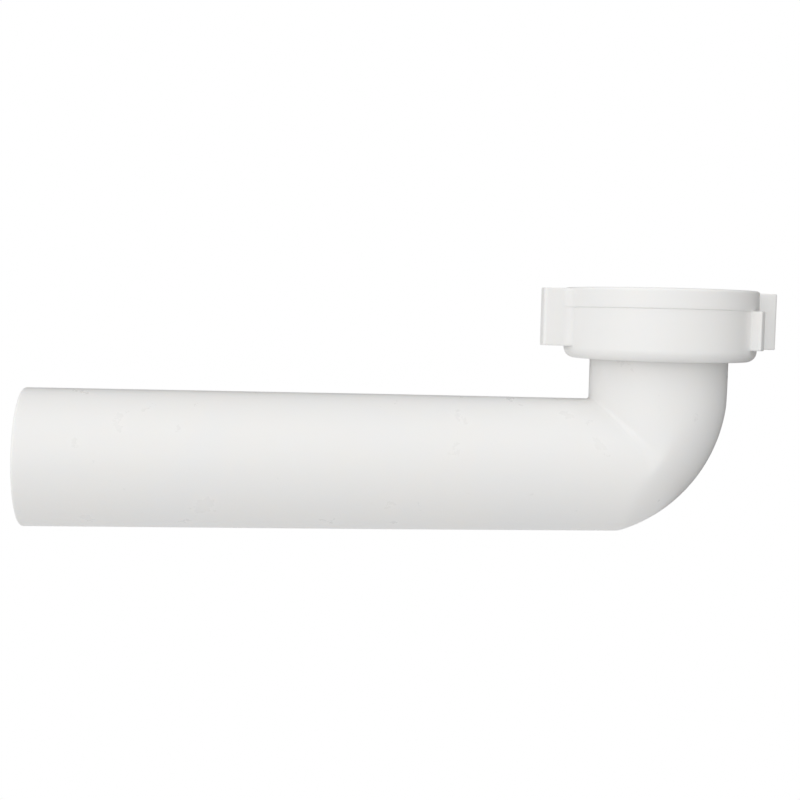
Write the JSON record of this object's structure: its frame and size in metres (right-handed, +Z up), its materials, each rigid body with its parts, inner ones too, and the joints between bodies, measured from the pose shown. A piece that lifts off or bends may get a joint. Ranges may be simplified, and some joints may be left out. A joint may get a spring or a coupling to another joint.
{
  "type": "waste arm",
  "caption": "Right-angle sink waste tube: a long plain arm, a short flanged leg, a captive winged slip nut that turns freely on the leg, and a flat sealing washer.",
  "frame": {"origin": "centre of the washer's upper face, where the sink outlet seats, on the axis of the leg and the nut's thread", "axes": "+Z up the leg and out of the nut's open end; the arm runs towards -X, level, below the origin"},
  "size_m": [0.2128, 0.0548, 0.0694],
  "materials": {
    "arm": "moulded white plastic, satin gloss",
    "nut": "moulded white plastic, satin gloss",
    "washer": "soft translucent white sealing plastic"
  },
  "bodies": {
    "arm": {"arm": "arm", "washer": "washer"},
    "nut": {"slip_nut": "nut"}
  },
  "joints": [
    {"name": "nut_spin", "type": "hinge", "parent": "arm", "child": "nut", "pos_m": [0, 0, 0], "axis": [0, 0, 1], "continuous": true}
  ]
}
